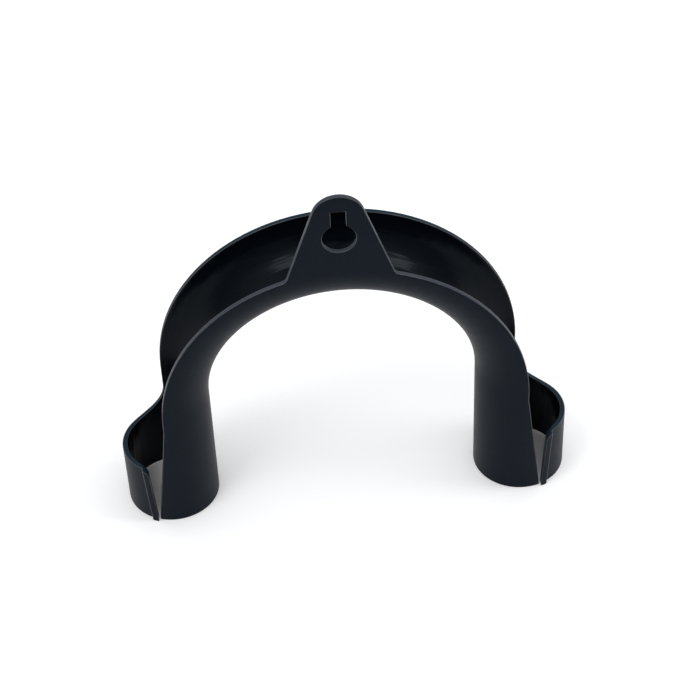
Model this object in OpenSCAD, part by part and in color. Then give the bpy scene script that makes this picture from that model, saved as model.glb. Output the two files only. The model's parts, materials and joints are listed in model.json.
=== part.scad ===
// Drain hose support: a bent trough on two legs, each ending in a split collar, with a keyhole tab.
// Millimetres, z up. The support stands on its two feet and is the same left and right.
// The origin lies on the floor, midway between the feet. The tab is at the front, towards -y.

/* [Hose trough] */
// Diameter of the hose that lies in the trough, the same as the trough's inner diameter
hose_d = 30; // [24:0.5:34]
// Wall thickness all over the support
wall = 1.8; // [1.4:0.1:2.4]
// Radius of the bend, from its centre to the middle of the hose
bend_r = 65; // [55:1:90]
// How far the trough's walls reach past the middle of the hose
lip = 0.3; // [0.3:0.1:3]

/* [Legs] */
// Height of the straight legs, from the floor to the start of the bend
leg_h = 48.5; // [42:0.5:80]
// How far the front wall reaches past the middle of the hose at the foot
front_reach = 5.6; // [4:0.1:6.5]

/* [Collars] */
// Height of the collar's rim above the floor
collar_h = 25.5; // [18:0.5:28]
// Radius of the hollow corner between the rim and the back wall of the trough
corner_r = 13; // [4:0.5:13]
// Radius of the collar's free corner at the top of the slit
free_corner_r = 3; // [1:0.5:4]
// Width of the slit at the floor
slit_foot_w = 0.6; // [0.4:0.1:3]
// Width of the slit at the rim
slit_rim_w = 5.2; // [3:0.1:5.5]

/* [Bead along the slit] */
// Width of the bead on the collar's free edge
bead_w = 2.2; // [1.5:0.1:3]
// How far the bead stands out from the collar
bead_t = 1.2; // [0.4:0.1:1.5]

/* [Hanging tab] */
// Height of the tab above the crown of the trough
tab_h = 32; // [29:0.5:36]
// Width of the tab where it grows out of the front wall
tab_base_w = 37; // [33:0.5:44]
// Radius of the tab's round top
tab_top_r = 9; // [8:0.5:11]
// Radius of the hollow corners at the tab's base
tab_corner_r = 3; // [1:0.5:5]

/* [Keyhole] */
// Diameter of the round part, which passes over a screw head
key_head_d = 11.5; // [8:0.5:12]
// Width of the slot, which holds the screw's shank
key_slot_w = 5; // [3:0.5:6]
// Height of the round part's centre above the crown of the trough
key_head_h = 14.5; // [12:0.5:16]
// Height of the slot's top above the round part's centre
key_slot_h = 11.2; // [8:0.2:12]

/* [Hidden] */
inner_r = hose_d / 2;
outer_r = inner_r + wall;
rim_r = bend_r + lip;
// The front wall is cut like the rest of the trough for this far below the bend, and then widens
straight_h = 3;
widen_z = leg_h - straight_h;
wall_slope = (front_reach - lip) / widen_z;
// Slit, in the front view from a leg's middle: x outward, z up. It lies between the slanted edge
// of the front wall and the free edge of the collar.
free_foot = [front_reach + slit_foot_w, 0];
free_corner = [front_reach - wall_slope * collar_h + slit_rim_w, collar_h];
free_way = (free_foot - free_corner) / norm(free_foot - free_corner);
// Distance from the free corner to where its round touches each edge
free_corner_l = free_corner_r / tan(acos(free_way.x) / 2);
// Tab, in the front view from the middle of the bend
tab_top = [0, rim_r + tab_h - tab_top_r];
tab_base = [tab_base_w / 2, sqrt(rim_r * rim_r - tab_base_w * tab_base_w / 4)];
tab_rise = [tab_base.x, tab_top.y - tab_base.y];
// The side leans inward and is tangent to the round top
tab_lean = acos(tab_top_r / norm(tab_rise)) - atan2(tab_rise.y, tab_rise.x);
tab_normal = [cos(tab_lean), sin(tab_lean)];
tab_down = [sin(tab_lean), -cos(tab_lean)];
// The hollow corner touches the side of the tab, and dips this far below the rim of the front wall
corner_dip = 0.1;
corner_n = tab_top * tab_normal + tab_top_r + tab_corner_r;
corner_t = -sqrt(pow(rim_r - corner_dip + tab_corner_r, 2) - corner_n * corner_n);
tab_corner = corner_n * tab_normal + corner_t * tab_down;
tab_corner_a = atan2(tab_corner.y, tab_corner.x);
key_head_z = rim_r + key_head_h;
// Straight steps in each round of the tab's outline
corner_steps = 10;
top_steps = 36;
// Cutting shapes run this far past a face
over = 1;
$fn = 128;
slate = [0.16, 0.18, 0.21];

// Points along an arc, from angle a to angle b
function arc(centre, radius, a, b, steps) =
    [for (i = [0:steps]) centre + radius * [cos(a + (b - a) * i / steps), sin(a + (b - a) * i / steps)]];

function mirrored(points) = [for (i = [len(points) - 1:-1:0]) [-points[i].x, points[i].y]];

// Plan of a ring round the hose
module ring_plan(outside, inside) {
    difference() {
        circle(r = outside);
        circle(r = inside);
    }
}

// Section of the trough: the ring, open on the side that faces +x
module trough_section() {
    difference() {
        ring_plan(outer_r, inner_r);
        translate([lip, -outer_r - over])
            square([outer_r, 2 * (outer_r + over)]);
    }
}

// Solid under a front-view outline, from depth y_front to y_back
module front_solid(y_front, y_back) {
    translate([0, y_back, 0])
        rotate([90, 0, 0])
            linear_extrude(y_back - y_front)
                children();
}

// Outline of the collar's front half, from its free edge along the slit to past its side
module wrap_outline() {
    polygon([
        free_foot + over * free_way,
        [outer_r + 2 * over, -over],
        [outer_r + 2 * over, collar_h],
        free_corner + [free_corner_l, 0],
        free_corner + free_corner_l * free_way
    ]);
    translate(free_corner + [free_corner_l, -free_corner_r])
        circle(r = free_corner_r);
}

// What is cut from the front half of a leg: the slit and all above the rim
module front_cut() {
    difference() {
        polygon([
            [front_reach + wall_slope * over, -over],
            [outer_r + over, -over],
            [outer_r + over, leg_h + over],
            [lip, leg_h + over],
            [lip, widen_z]
        ]);
        wrap_outline();
    }
}

// What is cut from the back half of a leg: all above the rim, but for a hollow corner
module back_cut() {
    difference() {
        translate([lip, collar_h])
            square([outer_r, leg_h]);
        difference() {
            translate([lip, collar_h])
                square(corner_r);
            translate([lip + corner_r, collar_h + corner_r])
                circle(r = corner_r);
        }
    }
}

// Strip of the collar's front half that carries the bead
module bead_outline() {
    intersection() {
        wrap_outline();
        polygon([
            [free_foot.x - over, 0],
            [free_foot.x + bead_w, 0],
            [free_corner.x + bead_w, collar_h],
            [free_corner.x - over, collar_h]
        ]);
    }
}

// Straight leg, about the middle of the hose, outward to +x: below the rim it is a split collar
module leg() {
    difference() {
        linear_extrude(leg_h)
            ring_plan(outer_r, inner_r);
        front_solid(-outer_r - over, 0)
            front_cut();
        front_solid(0, outer_r + over)
            back_cut();
    }
    intersection() {
        linear_extrude(collar_h)
            ring_plan(outer_r + bead_t, outer_r - wall / 2);
        front_solid(-outer_r - bead_t - over, 0)
            bead_outline();
    }
}

module bend() {
    translate([0, 0, leg_h])
        rotate([90, 0, 0])
            rotate_extrude(angle = 180)
                translate([bend_r, 0])
                    trough_section();
}

module keyhole_outline() {
    translate([0, key_head_z])
        circle(d = key_head_d);
    translate([-key_slot_w / 2, key_head_z])
        square([key_slot_w, key_slot_h]);
}

module tab_outline() {
    right_side = concat(
        [tab_corner * bend_r / norm(tab_corner)],
        arc(tab_corner, tab_corner_r, 180 + tab_corner_a, 180 + tab_lean, corner_steps)
    );
    round_top = arc(tab_top, tab_top_r, tab_lean, 180 - tab_lean, top_steps);
    difference() {
        polygon(concat(right_side, round_top, mirrored(right_side)));
        circle(r = bend_r);
        keyhole_outline();
    }
}

// Flat tab, flush with the front of the trough
module tab() {
    translate([0, 0, leg_h])
        front_solid(-outer_r, -inner_r)
            tab_outline();
}

module hose_support() {
    color(slate) {
        bend();
        tab();
        for (side = [0, 1])
            mirror([side, 0, 0])
                translate([bend_r, 0, 0])
                    leg();
    }
}

hose_support();
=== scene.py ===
"""Drain hose support: the finish of its one moulding, and the studio that it stands in."""

import json
import math

import bpy
from mathutils import Matrix, Vector


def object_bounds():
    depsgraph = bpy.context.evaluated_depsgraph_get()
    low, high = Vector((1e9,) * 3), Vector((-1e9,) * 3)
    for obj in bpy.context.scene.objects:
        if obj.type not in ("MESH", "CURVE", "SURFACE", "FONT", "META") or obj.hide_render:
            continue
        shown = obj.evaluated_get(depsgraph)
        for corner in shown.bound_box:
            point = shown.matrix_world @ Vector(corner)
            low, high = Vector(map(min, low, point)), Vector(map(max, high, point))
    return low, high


bl_info = {
    "name": "Drain hose support",
    "version": (1, 0, 0),
    "blender": (4, 5, 0),
    "location": "3D View > Sidebar > Hose support",
    "description": "Finishes a moulded drain hose support and sets up its studio",
    "category": "Object",
}

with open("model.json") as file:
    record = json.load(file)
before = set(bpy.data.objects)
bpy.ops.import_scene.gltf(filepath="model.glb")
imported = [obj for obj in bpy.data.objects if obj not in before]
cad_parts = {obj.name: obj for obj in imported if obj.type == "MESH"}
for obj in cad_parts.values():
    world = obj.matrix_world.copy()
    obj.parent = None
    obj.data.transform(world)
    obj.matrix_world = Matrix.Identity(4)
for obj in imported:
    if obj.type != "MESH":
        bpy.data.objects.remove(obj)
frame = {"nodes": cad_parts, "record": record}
MOULDING = "hose_support"
CAD_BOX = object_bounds()
MM = 0.001

# The run of the hose and the place of the keyhole, from the part's mounts
MOUNTS = {mount["name"]: mount for mount in frame["record"]["mounts"]}
BEND_RADIUS = MOUNTS["right_socket"]["pos_m"][0]
LEG_HEIGHT = MOUNTS["right_socket"]["dims"]["length_mm"] * MM
HOSE_RADIUS = MOUNTS["right_socket"]["dims"]["r_mm"] * MM
KEYHOLE_RADIUS = MOUNTS["keyhole"]["dims"]["r_mm"] * MM

# Within this distance of the middle and below this height, a front rim belongs to the keyhole
KEYHOLE_ASIDE = KEYHOLE_RADIUS * 1.05
KEYHOLE_TOP = MOUNTS["keyhole"]["pos_m"][2] + 2.2 * KEYHOLE_RADIUS
# How much weaker the painted highlight on the keyhole's rim is than on the other front rims
KEYHOLE_HIGHLIGHT_CUT = 0.55
# The front rims lie in front of this depth and above this height
FRONT_RIM_DEPTH = -12 * MM
FRONT_RIM_HEIGHT = 27 * MM
# Beyond this distance from the hose's middle there is only the tab
TAB_START = HOSE_RADIUS + 2.6 * MM
# Between these distances from the hose's middle, polish gives way to the sparked finish
POLISH_END = HOSE_RADIUS + 0.05 * MM
SPARK_START = HOSE_RADIUS + 0.25 * MM
# A face that is square to the wall's way by less than the first share is a rim, and by more
# than the second a wide face
RIM_FACING = 0.55
WIDE_FACING = 0.75

# Size of the spots in which the pigment drifts, the gloss varies and the painted highlight along
# the edges is uneven
DRIFT_SIZE = 14 * MM
RUBBED_SIZE = 9 * MM
EDGE_SPOT_SIZE = 4 * MM
# Range of roughness over which the gloss varies
GLOSS_RANGE = 0.1
RELIEF_STRENGTH = 0.5
PLASTIC_IOR = 1.49
EDGE_ROUGHNESS = 0.35
# The painted highlight along the edges is full from this height up, and this share of it at the
# floor
FULL_HIGHLIGHT_HEIGHT = 24 * MM
FLOOR_HIGHLIGHT = 0.25

# Points of the mesh closer than this are joined before the edges are rounded
WELD_GAP = 0.12 * MM
# Edges that turn by more than this are rounded
SHARP_TURN = math.radians(40)

# The table's glow fades over this distance on either side of a collar's inner wall; inside the
# collars it is left out, which keeps the table there darker as painted shade
COLLAR_SHADE = 2 * MM
TABLE_RADIUS = 6.0
TABLE_SIDES = 96
# Azimuth and elevation of the softboxes, in degrees
SOFTBOXES = {"left_softbox": (-52, 55), "right_softbox": (85, 47)}
# Light of the room at rising heights: elevation in degrees, share of the brightest
ROOM_LIGHT = ((0, 0.28), (12, 0.3), (28, 0.6), (44, 1.0), (58, 0.8), (70, 0.4), (90, 0.28))
SENSOR_WIDTH = 36


class PlasticFinish(bpy.types.PropertyGroup):
    """Colours and surface of the moulded plastic, with painted light on the rims and edges and
    painted shade in the trough
    """

    outside: bpy.props.FloatVectorProperty(
        name="Outside",
        description="Colour of the plastic where the mould is finely sparked",
        subtype="COLOR",
        size=3,
        min=0,
        max=1,
        default=(0.0022, 0.0046, 0.0088),
    )
    outside_light: bpy.props.FloatVectorProperty(
        name="Outside, paler",
        description="Paler tint that drifts through the outside colour",
        subtype="COLOR",
        size=3,
        min=0,
        max=1,
        default=(0.0032, 0.0060, 0.0107),
    )
    # Painted light: the faces of the rims get this paler colour for the light that falls on them
    rim: bpy.props.FloatVectorProperty(
        name="Rim",
        description="Colour of the plastic on the rims of the back wall and the collars",
        subtype="COLOR",
        size=3,
        min=0,
        max=1,
        default=(0.010, 0.022, 0.032),
    )
    # Painted highlight: the rims of the front wall, the tab and the keyhole get this still paler
    # colour
    front_rim_highlight: bpy.props.FloatVectorProperty(
        name="Front rim",
        description="Colour of the plastic on the rims of the front wall, the tab and the keyhole",
        subtype="COLOR",
        size=3,
        min=0,
        max=1,
        default=(0.044, 0.049, 0.063),
    )
    # Painted shade: the trough and the insides of the collars get this darker colour than the
    # outside of the same plastic
    trough: bpy.props.FloatVectorProperty(
        name="Trough",
        description="Colour of the plastic where the mould is polished",
        subtype="COLOR",
        size=3,
        min=0,
        max=1,
        default=(0.0012, 0.0022, 0.0040),
    )
    outside_roughness: bpy.props.FloatProperty(
        name="Outside roughness",
        description="Roughness of the sparked outside",
        subtype="FACTOR",
        min=0,
        max=1,
        default=0.42,
    )
    trough_roughness: bpy.props.FloatProperty(
        name="Trough roughness",
        description="Roughness of the polished trough",
        subtype="FACTOR",
        min=0,
        max=1,
        default=0.22,
    )
    gloss: bpy.props.FloatProperty(
        name="Gloss",
        description="Specular level of the plastic",
        subtype="FACTOR",
        min=0,
        max=1,
        default=0.08,
    )
    gloss_tint: bpy.props.FloatVectorProperty(
        name="Gloss tint",
        description="Tint of the plastic's highlights",
        subtype="COLOR",
        size=3,
        min=0,
        max=1,
        default=(0.82, 0.93, 1.0),
    )
    grain: bpy.props.FloatProperty(
        name="Grain size",
        description="Size of one grain of the sparked finish",
        subtype="DISTANCE",
        unit="LENGTH",
        min=0,
        default=0.35 * MM,
    )
    grain_depth: bpy.props.FloatProperty(
        name="Grain depth",
        description="Depth of the sparked finish",
        subtype="DISTANCE",
        unit="LENGTH",
        min=0,
        default=0.02 * MM,
    )
    flow_length: bpy.props.FloatProperty(
        name="Flow line length",
        description="Length of the faint flow lines in the trough",
        subtype="DISTANCE",
        unit="LENGTH",
        min=0,
        default=30 * MM,
    )
    flow_width: bpy.props.FloatProperty(
        name="Flow line width",
        description="Width of the faint flow lines in the trough",
        subtype="DISTANCE",
        unit="LENGTH",
        min=0,
        default=2.8 * MM,
    )
    flow_depth: bpy.props.FloatProperty(
        name="Flow line depth",
        description="Depth of the faint flow lines in the trough",
        subtype="DISTANCE",
        unit="LENGTH",
        min=0,
        default=0.8 * MM,
    )
    # Painted highlight: the rounded edges get this paler colour for the light that they catch
    edge: bpy.props.FloatVectorProperty(
        name="Edge",
        description="Colour of the plastic along the moulded edges, where it is burnished",
        subtype="COLOR",
        size=3,
        min=0,
        max=1,
        default=(0.036, 0.040, 0.047),
    )
    edge_gloss: bpy.props.FloatProperty(
        name="Edge gloss",
        description="Specular level along the moulded edges",
        subtype="FACTOR",
        min=0,
        max=1,
        default=0.4,
    )
    edge_round: bpy.props.FloatProperty(
        name="Edge rounding",
        description="Width of the small rounding along the moulded edges",
        subtype="DISTANCE",
        unit="LENGTH",
        min=0,
        default=0.2 * MM,
    )


class Studio(bpy.types.PropertyGroup):
    """Table, room, softboxes and camera"""

    table: bpy.props.FloatVectorProperty(
        name="Table",
        description="Colour of the table",
        subtype="COLOR",
        size=3,
        min=0,
        max=1,
        default=(0.99, 0.99, 0.99),
    )
    room: bpy.props.FloatVectorProperty(
        name="Room",
        description="Colour of the room's light",
        subtype="COLOR",
        size=3,
        min=0,
        max=1,
        default=(0.97, 0.98, 1.0),
    )
    room_strength: bpy.props.FloatProperty(
        name="Room strength",
        description="Strength of the light from the brightest height of the room",
        min=0,
        default=1.35,
    )
    softbox_size: bpy.props.FloatProperty(
        name="Softbox size",
        description="Diameter of each softbox",
        subtype="DISTANCE",
        unit="LENGTH",
        min=0,
        default=0.4,
    )
    softbox_distance: bpy.props.FloatProperty(
        name="Softbox distance",
        description="Distance from each softbox to the support",
        subtype="DISTANCE",
        unit="LENGTH",
        min=0,
        default=1.0,
    )
    side_power: bpy.props.FloatProperty(
        name="Side power",
        description="Power of the softboxes to the left and the right",
        subtype="POWER",
        unit="POWER",
        min=0,
        default=2.1,
    )
    table_glow: bpy.props.FloatProperty(
        name="Table glow",
        description="How much brighter the table looks than it is lit, outside the collars",
        min=0,
        default=0.085,
    )
    azimuth: bpy.props.FloatProperty(
        name="Azimuth",
        description="Camera's angle round the support, from straight in front",
        subtype="ANGLE",
        unit="ROTATION",
        default=math.radians(-3.881),
    )
    elevation: bpy.props.FloatProperty(
        name="Elevation",
        description="Camera's angle above the horizon",
        subtype="ANGLE",
        unit="ROTATION",
        default=math.radians(43.33),
    )
    roll: bpy.props.FloatProperty(
        name="Roll",
        description="Camera's turn about its own line of sight",
        subtype="ANGLE",
        unit="ROTATION",
        default=math.radians(-2.447),
    )
    aim: bpy.props.FloatVectorProperty(
        name="Aim",
        description="Point that the camera looks at",
        subtype="TRANSLATION",
        unit="LENGTH",
        size=3,
        default=(3.16 * MM, 0.0, 62.24 * MM),
    )
    distance: bpy.props.FloatProperty(
        name="Distance",
        description="Distance from the camera to the point that it looks at",
        subtype="DISTANCE",
        unit="LENGTH",
        min=0,
        default=712.05 * MM,
    )
    lens: bpy.props.FloatProperty(
        name="Lens",
        description="Focal length in millimetres, on a sensor 36 mm wide",
        min=1,
        default=102.86,
    )


def away(azimuth, elevation):
    """Returns the direction away from the support, from its azimuth and elevation."""
    return Vector(
        (
            math.sin(azimuth) * math.cos(elevation),
            -math.cos(azimuth) * math.cos(elevation),
            math.sin(elevation),
        )
    )


def opaque(colour):
    """Returns a colour with full alpha, as the shader's sockets take it."""
    return (*colour, 1)


def add_node(tree, kind, label, place, inputs=None, **settings):
    """Adds a shader node, labelled for what it does, and feeds it values or sockets."""
    node = tree.nodes.new(kind)
    node.label = label
    node.location = place
    for name, value in settings.items():
        setattr(node, name, value)
    for key, value in (inputs or {}).items():
        if isinstance(value, bpy.types.NodeSocket):
            tree.links.new(value, node.inputs[key])
        else:
            node.inputs[key].default_value = value
    return node


def maths(tree, operation, label, place, *inputs):
    """Adds a Math node and returns its result."""
    inputs = dict(enumerate(inputs))
    return add_node(tree, "ShaderNodeMath", label, place, inputs, operation=operation).outputs[0]


def mix(tree, label, place, share, a, b, data_type="RGBA"):
    """Adds a node that mixes two colours or numbers, and returns its result."""
    inputs = {"Factor": share, "A": a, "B": b}
    node = add_node(tree, "ShaderNodeMix", label, place, inputs, data_type=data_type)
    return node.outputs["Result"]


def noise(tree, label, place, point, size, detail, roughness=0.5):
    """Adds noise with spots of about the given size, and returns its value."""
    inputs = {"Vector": point, "Scale": 1 / size, "Detail": detail, "Roughness": roughness}
    return add_node(tree, "ShaderNodeTexNoise", label, place, inputs).outputs["Fac"]


def map_range(tree, label, place, inputs, interpolation_type="LINEAR"):
    """Adds a Map Range node and returns its result."""
    node = add_node(
        tree, "ShaderNodeMapRange", label, place, inputs, interpolation_type=interpolation_type
    )
    return node.outputs[0]


def split(tree, label, place, vector):
    """Returns the three parts of a vector."""
    return add_node(tree, "ShaderNodeSeparateXYZ", label, place, {0: vector}).outputs


def length_of(tree, label, place, a, b):
    """Returns the length of the side across two sides at a right angle."""
    corner = add_node(tree, "ShaderNodeCombineXYZ", label, place, {0: a, 1: b})
    beside = (place[0] + 180, place[1])
    inputs = {0: corner.outputs[0]}
    length = add_node(tree, "ShaderNodeVectorMath", label, beside, inputs, operation="LENGTH")
    return length.outputs["Value"]


def new_material(name):
    """Makes an empty node material, and returns it with its tree."""
    material = bpy.data.materials.new(name)
    material.use_nodes = True
    material.node_tree.nodes.clear()
    return material, material.node_tree


def hose_distance(tree, point):
    """Returns how far a point lies from the middle of the hose, and the way that leads there."""
    x, y, z = split(tree, "Axes", (-1700, 200), point)
    rise = maths(tree, "SUBTRACT", "Height above the legs", (-1520, 60), z, LEG_HEIGHT)
    rise = maths(tree, "MAXIMUM", "Straight in the legs", (-1340, 60), rise, 0.0)
    reach = length_of(tree, "Distance from the bend's centre", (-1160, 200), x, rise)
    aside = maths(tree, "SUBTRACT", "Off the bend", (-800, 200), reach, BEND_RADIUS)
    distance = length_of(tree, "Distance from the hose's middle", (-620, 200), aside, y)
    share = maths(tree, "DIVIDE", "Share off the bend", (-800, 400), aside, reach)
    across = maths(tree, "MULTIPLY", "Across", (-620, 480), x, share)
    upward = maths(tree, "MULTIPLY", "Upward", (-620, 400), rise, share)
    inputs = {0: across, 1: y, 2: upward}
    way = add_node(
        tree, "ShaderNodeCombineXYZ", "Way from the hose's middle", (-440, 440), inputs
    )
    return distance, way.outputs[0]


def rim_mask(tree, normal, way, distance):
    """Returns 1 on the narrow faces that the wall's thickness shows, and 0 on its wide faces."""
    inputs = {0: normal, 1: way}
    along = add_node(
        tree, "ShaderNodeVectorMath", "Along the way", (-260, 440), inputs, operation="DOT_PRODUCT"
    )
    along = maths(tree, "DIVIDE", "Facing the hose", (-80, 440), along.outputs["Value"], distance)
    frontward = split(tree, "Axes of the normal", (-260, 620), normal)[1]
    trough = maths(tree, "ABSOLUTE", "Wide face of the trough", (100, 440), along)
    tab = maths(tree, "ABSOLUTE", "Wide face of the tab", (100, 620), frontward)
    beyond = maths(tree, "GREATER_THAN", "On the tab", (100, 300), distance, TAB_START)
    facing = mix(tree, "Facing", (460, 440), beyond, trough, tab, "FLOAT")
    inputs = {"Value": facing, "From Min": WIDE_FACING, "From Max": RIM_FACING}
    return map_range(tree, "Narrow face", (640, 440), inputs, "SMOOTHSTEP")


def wall_colour_and_trough_shade(tree, point, outside, finish):
    """Returns the colour of the wide faces, which drifts outside, and the darker trough colour
    inside as painted shade.
    """
    drift = noise(tree, "Drift of the pigment", (-900, -120), point, DRIFT_SIZE, 4)
    colours = opaque(finish.outside), opaque(finish.outside_light)
    shade = mix(tree, "Pigment outside", (-500, -80), drift, *colours)
    # Painted shade: the trough and the collar insides get the darker trough colour
    return mix(tree, "Pigment", (-60, 60), outside, opaque(finish.trough), shade)


def rim_painted_light(tree, point, finish):
    """Returns the painted light on the rims: paler faces, and a painted highlight on the front rims
    that is weaker at the keyhole.
    """
    x, y, z = split(tree, "Front and height", (-260, 820), point)
    front = maths(tree, "LESS_THAN", "At the front", (-80, 820), y, FRONT_RIM_DEPTH)
    high = maths(tree, "GREATER_THAN", "Above the collars", (-80, 960), z, FRONT_RIM_HEIGHT)
    front = maths(tree, "MULTIPLY", "Front rim", (100, 820), front, high)
    aside = maths(tree, "ABSOLUTE", "Aside", (-80, 1100), x)
    near = maths(tree, "LESS_THAN", "Near the keyhole", (100, 1100), aside, KEYHOLE_ASIDE)
    below = maths(tree, "LESS_THAN", "Below its top", (100, 1240), z, KEYHOLE_TOP)
    keyhole = maths(tree, "MULTIPLY", "In the keyhole", (280, 1100), near, below)
    # Painted highlight on the front rims, weaker in the keyhole
    rubbing_and_sheen = maths(
        tree, "MULTIPLY_ADD", "Less rubbed there", (460, 1100), keyhole, -KEYHOLE_HIGHLIGHT_CUT, 1.0
    )
    front = maths(tree, "MULTIPLY", "Painted highlight on the front rim", (460, 900), front, rubbing_and_sheen)
    colours = opaque(finish.rim), opaque(finish.front_rim_highlight)
    return mix(tree, "Painted light on the rims", (280, 820), front, *colours)


def uneven_roughness(tree, point, outside, finish):
    """Returns the roughness, which is low in the trough and varies a little all over."""
    inputs = {
        "Value": outside,
        "To Min": finish.trough_roughness,
        "To Max": finish.outside_roughness,
    }
    rough = map_range(tree, "Roughness of the two finishes", (-260, -120), inputs)
    rubbing_and_sheen = noise(tree, "Rubbed places", (-900, -360), point, RUBBED_SIZE, 6, 0.6)
    wear = maths(
        tree, "MULTIPLY_ADD", "Uneven gloss", (-500, -360), rubbing_and_sheen, GLOSS_RANGE, -GLOSS_RANGE / 2
    )
    return maths(tree, "ADD", "Roughness", (-60, -160), rough, wear)


def relief(tree, point, outside, finish):
    """Returns the normal of a grain outside and of flow lines along the hose in the trough."""
    scale = (1 / finish.flow_length, 1 / finish.flow_width, 1 / finish.flow_length)
    inputs = {"Vector": point, "Scale": scale}
    along = add_node(tree, "ShaderNodeMapping", "Along the hose", (-1100, -900), inputs)
    flow = noise(tree, "Flow lines", (-900, -900), along.outputs[0], 1, 2)
    # The flow lines are scaled about the middle of their range, which they share with the grain
    depth = finish.flow_depth / finish.grain_depth
    middle = (1 - depth) / 2
    waves = maths(tree, "MULTIPLY_ADD", "Flow line depth", (-700, -900), flow, depth, middle)
    sparks = noise(tree, "Sparked grain", (-900, -620), point, finish.grain, 3)
    height = mix(tree, "Flow lines or grain", (-500, -620), outside, waves, sparks, "FLOAT")
    inputs = {"Height": height, "Strength": RELIEF_STRENGTH, "Distance": finish.grain_depth}
    return add_node(tree, "ShaderNodeBump", "Relief", (-260, -560), inputs).outputs["Normal"]


def plastic_material(finish):
    """Moulded plastic: a finely sparked outside, and a polished trough where the hose lies."""
    material, tree = new_material("moulded_plastic")
    surface = add_node(tree, "ShaderNodeTexCoord", "Place on the support", (-1900, 0))
    point = surface.outputs["Object"]
    distance, way = hose_distance(tree, point)
    # The trough and the collar insides are smoother, and darker in colour as painted shade
    inputs = {"Value": distance, "From Min": POLISH_END, "From Max": SPARK_START}
    outside = map_range(tree, "Outside the trough", (-260, 200), inputs, "SMOOTHSTEP")
    # The rims get painted light, a paler colour on their faces
    rim = rim_mask(tree, surface.outputs["Normal"], way, distance)
    wall_colour_and_rim_light = wall_colour_and_trough_shade(tree, point, outside, finish), rim_painted_light(tree, point, finish)
    inputs = {
        "Base Color": mix(tree, "Colour with painted rim light", (820, 300), rim, *wall_colour_and_rim_light),
        "Roughness": uneven_roughness(tree, point, outside, finish),
        "Normal": relief(tree, point, outside, finish),
        "IOR": PLASTIC_IOR,
        "Specular IOR Level": finish.gloss,
        "Specular Tint": opaque(finish.gloss_tint),
    }
    plastic = add_node(tree, "ShaderNodeBsdfPrincipled", "Plastic", (1000, 60), inputs)
    inputs = {"Surface": plastic.outputs[0]}
    add_node(tree, "ShaderNodeOutputMaterial", "Surface", (1300, 60), inputs)
    return material


def edge_highlight_material(finish):
    """Painted highlight along the moulded edges: a paler colour in uneven spots, faintest at the
    feet.
    """
    material, tree = new_material("edge_highlight")
    surface = add_node(tree, "ShaderNodeTexCoord", "Place on the support", (-900, 0))
    point = surface.outputs["Object"]
    rubbing_and_sheen = noise(tree, "Uneven edge highlight", (-700, 0), point, EDGE_SPOT_SIZE, 3)
    height = split(tree, "Height", (-700, -300), point)[2]
    inputs = {"Value": height, "From Max": FULL_HIGHLIGHT_HEIGHT, "To Min": FLOOR_HIGHLIGHT}
    low = map_range(tree, "Less worn at the feet", (-500, -300), inputs)
    # The painted edge highlight is uneven in spots and fades towards the feet
    highlit = maths(tree, "MULTIPLY", "Wear", (-500, 0), rubbing_and_sheen, low)
    # The noise is a half on average, so twice the edge colour gives the edge colour on average
    highlight_colour = opaque([2 * channel for channel in finish.edge])
    shade = mix(
        tree, "Paler where worn", (-300, 0), highlit, opaque(finish.outside_light), highlight_colour
    )
    inputs = {
        "Base Color": shade,
        "Roughness": EDGE_ROUGHNESS,
        "IOR": PLASTIC_IOR,
        "Specular IOR Level": finish.edge_gloss,
    }
    plastic = add_node(tree, "ShaderNodeBsdfPrincipled", "Plastic with painted edge highlight", (0, 0), inputs)
    inputs = {"Surface": plastic.outputs[0]}
    add_node(tree, "ShaderNodeOutputMaterial", "Surface", (300, 0), inputs)
    return material


def table_material(studio):
    """Matt white table top, which glows a little where it is seen outside the collars, so that the
    table inside the collars stays darker as painted shade.
    """
    material, tree = new_material("white_table")
    inputs = {"Color": opaque(studio.table)}
    board = add_node(tree, "ShaderNodeBsdfDiffuse", "Matt board", (0, 0), inputs)
    path = add_node(tree, "ShaderNodeLightPath", "What sees the table", (-600, -200)).outputs
    seen = maths(
        tree,
        "MAXIMUM",
        "Seen or mirrored",
        (-400, -200),
        path["Is Camera Ray"],
        path["Is Glossy Ray"],
    )
    seen = maths(
        tree, "MAXIMUM", "Seen at all", (-220, -200), seen, path["Is Transmission Ray"]
    )
    place = add_node(tree, "ShaderNodeTexCoord", "Place on the table", (-1900, 200))
    distance, _ = hose_distance(tree, place.outputs["Object"])
    inputs = {
        "Value": distance,
        "From Min": HOSE_RADIUS - COLLAR_SHADE,
        "From Max": HOSE_RADIUS + COLLAR_SHADE,
    }
    # Painted shade: no glow inside the collars, so the table there stays darker than the rest
    clear = map_range(tree, "Clear of the collars", (-400, -420), inputs)
    shown = maths(tree, "MULTIPLY", "Seen and clear", (-220, -300), seen, clear)
    strength = maths(tree, "MULTIPLY", "Glow", (-60, -300), shown, studio.table_glow)
    inputs = {"Strength": strength}
    glow = add_node(tree, "ShaderNodeEmission", "White background", (0, -160), inputs)
    inputs = {0: board.outputs[0], 1: glow.outputs[0]}
    both = add_node(tree, "ShaderNodeAddShader", "Board and background", (200, 0), inputs)
    inputs = {"Surface": both.outputs[0]}
    add_node(tree, "ShaderNodeOutputMaterial", "Surface", (400, 0), inputs)
    return material


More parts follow.
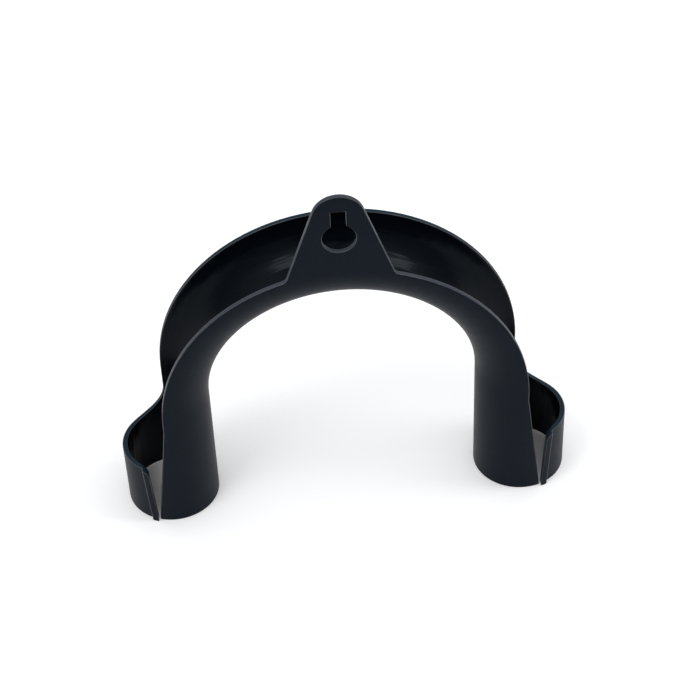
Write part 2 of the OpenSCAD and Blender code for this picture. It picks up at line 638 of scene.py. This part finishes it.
class HOSESUPPORT_OT_moulding(bpy.types.Operator):
    """Rounds the edges of the moulding and gives it its plastic"""

    bl_idname = "hosesupport.moulding"
    bl_label = "Moulding"

    def execute(self, context):
        finish = context.scene.plastic_finish
        moulding = frame["nodes"][MOULDING]
        weld = moulding.modifiers.new("Weld", "WELD")
        weld.merge_threshold = WELD_GAP
        rounding = moulding.modifiers.new("Rounded edges", "BEVEL")
        rounding.width = finish.edge_round
        rounding.segments = 1
        rounding.loop_slide = False
        rounding.limit_method = "ANGLE"
        rounding.angle_limit = SHARP_TURN
        rounding.use_clamp_overlap = False
        rounding.material = 1
        normals = moulding.modifiers.new("Smooth walls", "WEIGHTED_NORMAL")
        normals.keep_sharp = False
        materials = moulding.data.materials
        materials.clear()
        materials.append(plastic_material(finish))
        # The rounded edges get the painted highlight
        materials.append(edge_highlight_material(finish))
        return {"FINISHED"}


class HOSESUPPORT_OT_studio(bpy.types.Operator):
    """Sets up the table, the softboxes, the room's light and the camera"""

    bl_idname = "hosesupport.studio"
    bl_label = "Studio"

    def execute(self, context):
        studio = context.scene.hose_studio
        self.make_table(context, studio)
        self.make_softboxes(context, studio)
        self.make_room(context, studio)
        self.make_camera(context, studio)
        context.scene.view_settings.view_transform = "Standard"
        return {"FINISHED"}

    def make_table(self, context, studio):
        """Lays a wide white table under the feet."""
        bpy.ops.mesh.primitive_circle_add(
            vertices=TABLE_SIDES,
            radius=TABLE_RADIUS,
            fill_type="NGON",
            location=(0, 0, CAD_BOX[0].z),
        )
        table = context.object
        table.name = "table"
        table.data.materials.append(table_material(studio))

    def make_softboxes(self, context, studio):
        """Stands two round softboxes beside the table."""
        middle = (CAD_BOX[0] + CAD_BOX[1]) / 2
        for name, angles in SOFTBOXES.items():
            lamp = bpy.data.lights.new(name, "AREA")
            lamp.shape = "DISK"
            lamp.size = studio.softbox_size
            lamp.energy = studio.side_power
            softbox = bpy.data.objects.new(name, lamp)
            back = away(*map(math.radians, angles))
            softbox.location = middle + back * studio.softbox_distance
            softbox.rotation_euler = back.to_track_quat("Z", "Y").to_euler()
            context.scene.collection.objects.link(softbox)

    def make_room(self, context, studio):
        """Lights the room softly, brightest halfway up its walls."""
        world = bpy.data.worlds.new("room")
        world.use_nodes = True
        tree = world.node_tree
        background = tree.nodes["Background"]
        background.inputs["Color"].default_value = opaque(studio.room)
        place = add_node(tree, "ShaderNodeTexCoord", "Place in the room", (-800, 0))
        height = split(tree, "Height in the room", (-600, 0), place.outputs["Generated"])[2]
        inputs = {"Fac": height}
        rise = add_node(
            tree, "ShaderNodeValToRGB", "From walls to ceiling", (-400, 0), inputs
        )
        rise.color_ramp.interpolation = "B_SPLINE"
        stops = rise.color_ramp.elements
        while len(stops) < len(ROOM_LIGHT):
            stops.new(1)
        for stop, (elevation, share) in zip(stops, ROOM_LIGHT):
            stop.position = math.sin(math.radians(elevation))
            stop.color = opaque((share, share, share))
        strength = maths(
            tree, "MULTIPLY", "Light of the room", (-100, 0), rise.outputs[0], studio.room_strength
        )
        tree.links.new(strength, background.inputs["Strength"])
        context.scene.world = world

    def make_camera(self, context, studio):
        """Places the camera where the support is seen from."""
        back = away(studio.azimuth, studio.elevation)
        right = Vector((math.cos(studio.azimuth), math.sin(studio.azimuth), 0))
        up = back.cross(right)
        turned_right = right * math.cos(studio.roll) + up * math.sin(studio.roll)
        turned_up = up * math.cos(studio.roll) - right * math.sin(studio.roll)
        lens = bpy.data.cameras.new("camera")
        lens.lens = studio.lens
        lens.sensor_width = SENSOR_WIDTH
        camera = bpy.data.objects.new("camera", lens)
        turn = Matrix((turned_right, turned_up, back)).transposed().to_4x4()
        camera.matrix_world = Matrix.Translation(Vector(studio.aim) + back * studio.distance) @ turn
        context.scene.collection.objects.link(camera)
        context.scene.camera = camera


class HOSESUPPORT_PT_panel(bpy.types.Panel):
    """Lists the steps that finish the support"""

    bl_label = "Drain hose support"
    bl_idname = "HOSESUPPORT_PT_panel"
    bl_space_type = "VIEW_3D"
    bl_region_type = "UI"
    bl_category = "Hose support"

    def draw(self, context):
        for settings, operator in (
            (context.scene.plastic_finish, HOSESUPPORT_OT_moulding),
            (context.scene.hose_studio, HOSESUPPORT_OT_studio),
        ):
            box = self.layout.box()
            for name in settings.__annotations__:
                box.prop(settings, name)
            box.operator(operator.bl_idname)


CLASSES = (
    PlasticFinish,
    Studio,
    HOSESUPPORT_OT_moulding,
    HOSESUPPORT_OT_studio,
    HOSESUPPORT_PT_panel,
)


def register():
    for cls in CLASSES:
        bpy.utils.register_class(cls)
    bpy.types.Scene.plastic_finish = bpy.props.PointerProperty(type=PlasticFinish)
    bpy.types.Scene.hose_studio = bpy.props.PointerProperty(type=Studio)


def unregister():
    del bpy.types.Scene.hose_studio
    del bpy.types.Scene.plastic_finish
    for cls in reversed(CLASSES):
        bpy.utils.unregister_class(cls)


def main():
    register()
    bpy.ops.hosesupport.moulding()
    bpy.ops.hosesupport.studio()


if __name__ == "__main__":
    main()
